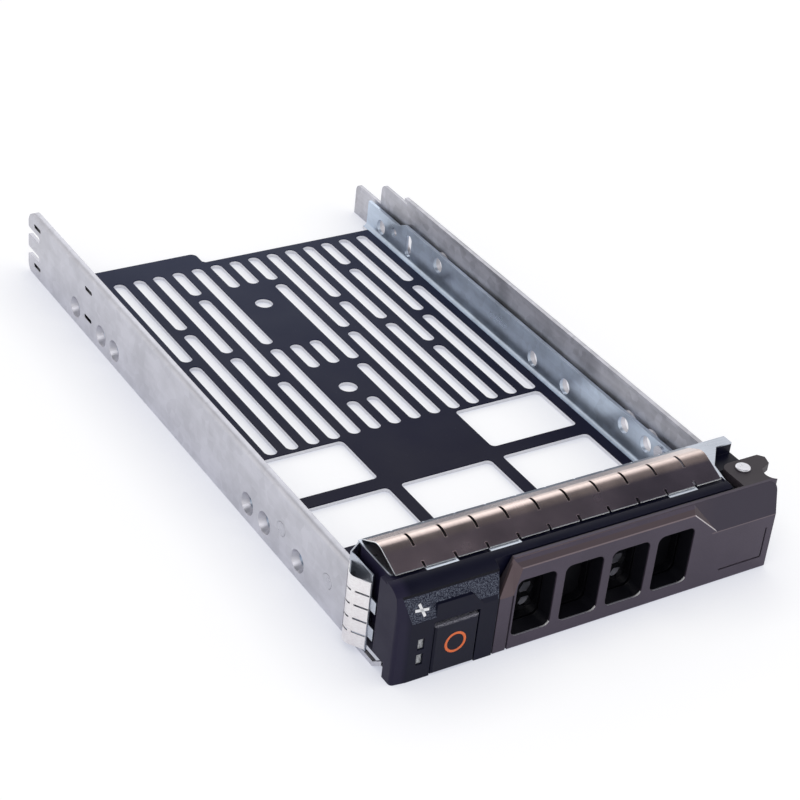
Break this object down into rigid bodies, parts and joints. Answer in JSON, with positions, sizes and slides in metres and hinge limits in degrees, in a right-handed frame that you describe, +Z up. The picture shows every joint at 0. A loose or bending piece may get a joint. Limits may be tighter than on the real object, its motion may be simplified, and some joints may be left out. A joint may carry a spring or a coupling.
{
  "type": "hot swap drive caddy",
  "caption": "Hot swap drive caddy: slotted metal tray between side rails, black bezel with release button, swing-out handle and spring-finger strips.",
  "frame": {"origin": "under the middle of the caddy, level with the bottom edges of its rails", "axes": "+X to the right as seen from the front, +Y to the rear (into the bay), +Z up"},
  "size_m": [0.1139, 0.2033, 0.0285],
  "materials": {
    "tray_steel": "zinc-plated sheet, bluish grey, faintly mottled",
    "film_black": "matt black insulating film",
    "left_rail_zinc": "zinc-plated sheet, pale grey, faintly mottled",
    "right_rail_zinc": "zinc-plated sheet, pale grey, faintly mottled",
    "rivet_steel": "plated steel",
    "bezel_plastic": "fine-grained black moulding",
    "grille_plastic": "matt black moulding",
    "lower_lens_clear": "clear grey light pipe",
    "upper_lens_clear": "clear grey light pipe",
    "handle_plastic": "satin charcoal moulding",
    "pin_steel": "turned steel",
    "clip_steel": "dark spring steel",
    "torsion_wire": "spring wire",
    "button_plastic": "satin black moulding",
    "ring_orange": "orange inlay",
    "coil_wire": "spring wire",
    "screw_steel": "plated steel",
    "bracket_steel": "bright plated sheet",
    "top_gasket_steel": "bright spring-steel strip with worn crest",
    "side_gasket_steel": "bright spring-steel strip"
  },
  "bodies": {
    "carrier": {"tray": "tray_steel", "insulator_film": "film_black", "left_rail": "left_rail_zinc", "right_rail": "right_rail_zinc", "rail_rivets": "rivet_steel", "bezel": "bezel_plastic", "vent_grille": "grille_plastic", "lower_light_pipe": "lower_lens_clear", "upper_light_pipe": "upper_lens_clear", "shield_bracket": "bracket_steel", "top_gasket": "top_gasket_steel", "side_gasket": "side_gasket_steel", "pivot_pin": "pin_steel", "pin_clip": "clip_steel", "torsion_spring": "torsion_wire", "bezel_screws": "screw_steel"},
    "handle": {"handle": "handle_plastic"},
    "button": {"release_button": "button_plastic", "button_ring": "ring_orange", "button_spring": "coil_wire"}
  },
  "joints": [
    {"name": "handle_pivot", "type": "hinge", "parent": "carrier", "child": "handle", "pos_m": [0.0485, -0.0926, 0.012], "axis": [0, 0, 1], "range_deg": [0, 40]},
    {"name": "button_press", "type": "slide", "parent": "carrier", "child": "button", "axis": [0, 1, 0], "range_m": [0, 0.0015], "stiffness_N_per_m": 400, "springref_m": -0.001}
  ]
}
